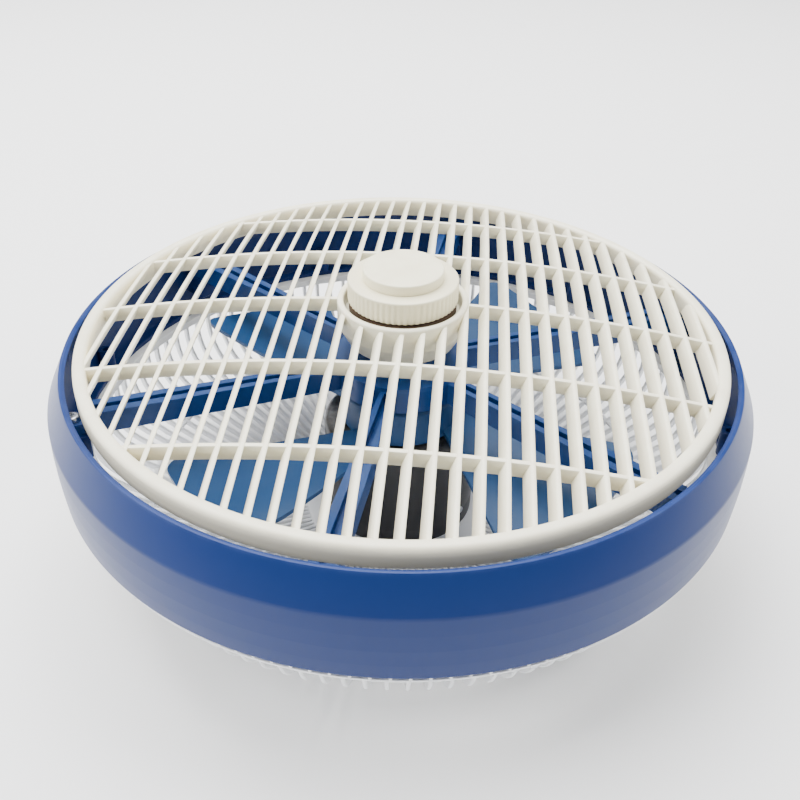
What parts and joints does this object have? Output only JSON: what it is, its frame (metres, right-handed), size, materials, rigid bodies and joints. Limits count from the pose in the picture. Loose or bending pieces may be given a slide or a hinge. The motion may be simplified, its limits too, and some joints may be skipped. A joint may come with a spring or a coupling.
{
  "type": "vehicle roof fan",
  "caption": "Round vehicle roof fan: drum ring, ribbed rear cage, motor with pitched blades, and a turning louvre grille with a central lock knob.",
  "frame": {"origin": "centre of the fan's axis on the rear cage's resting face", "axes": "+Z along the fan's axis from the rear cage towards the grille; the louvre's slats run along Y"},
  "size_m": [0.3336, 0.3336, 0.1434],
  "materials": {
    "blue_plastic": "gloss",
    "arm_plastic": "gloss",
    "blade_plastic": "gloss",
    "white_plastic": "gloss",
    "ivory_plastic": "gloss",
    "black_steel": "satin",
    "black_plastic": "matte",
    "ferrite": "matte",
    "bronze": "satin",
    "brass": "satin",
    "carbon": "matte",
    "zinc_steel": "satin",
    "shaft_steel": "polished",
    "lamination": "satin",
    "copper": "satin",
    "inlet_rubber": "matte",
    "white_nylon": "satin",
    "brown_plastic": "satin",
    "felt": "matte"
  },
  "bodies": {
    "housing": {"drum_ring": "blue_plastic", "spider": "arm_plastic", "spider_screws": "zinc_steel", "rear_cage": "white_plastic", "cage_screws": "zinc_steel", "motor_can": "black_steel", "motor_end_cap": "black_plastic", "motor_magnets": "ferrite", "front_bearing": "bronze", "rear_bearing": "bronze", "brush_holders": "brass", "brushes": "carbon", "can_screws": "zinc_steel", "motor_screws": "zinc_steel", "terminal_tabs": "brass", "lead_grommet": "inlet_rubber", "spindle": "shaft_steel", "spindle_nut": "zinc_steel", "thrust_washer": "white_nylon", "retaining_clip": "zinc_steel", "spring_seat": "zinc_steel", "release_spring": "shaft_steel", "knob_screw": "zinc_steel"},
    "rotor": {"motor_shaft": "shaft_steel", "rotor_core": "lamination", "rotor_windings": "copper", "commutator": "copper", "impeller": "blade_plastic", "impeller_washer": "zinc_steel", "impeller_nut": "zinc_steel"},
    "louvre": {"louvre_grille": "ivory_plastic", "louvre_bush": "bronze"},
    "brake": {"brake_disc": "brown_plastic", "brake_lining": "felt"},
    "knob": {"knob_base": "ivory_plastic", "knob_cap": "ivory_plastic"}
  },
  "joints": [
    {"name": "impeller_spin", "type": "hinge", "parent": "housing", "child": "rotor", "pos_m": [0, 0, 0.07], "axis": [0, 0, 1], "continuous": true},
    {"name": "louvre_turn", "type": "hinge", "parent": "housing", "child": "louvre", "pos_m": [0, 0, 0.107], "axis": [0, 0, 1], "continuous": true},
    {"name": "knob_turn", "type": "hinge", "parent": "housing", "child": "knob", "pos_m": [0, 0, 0.132], "axis": [0, 0, 1], "range_deg": [0, 90]},
    {"name": "brake_press", "type": "slide", "parent": "housing", "child": "brake", "axis": [0, 0, -1], "range_m": [0, 0.001], "deforming": ["release_spring"]}
  ],
  "couplings": [
    {"joint": "brake_press", "follows": "knob_turn", "m_per_rad": 0.0006366}
  ]
}
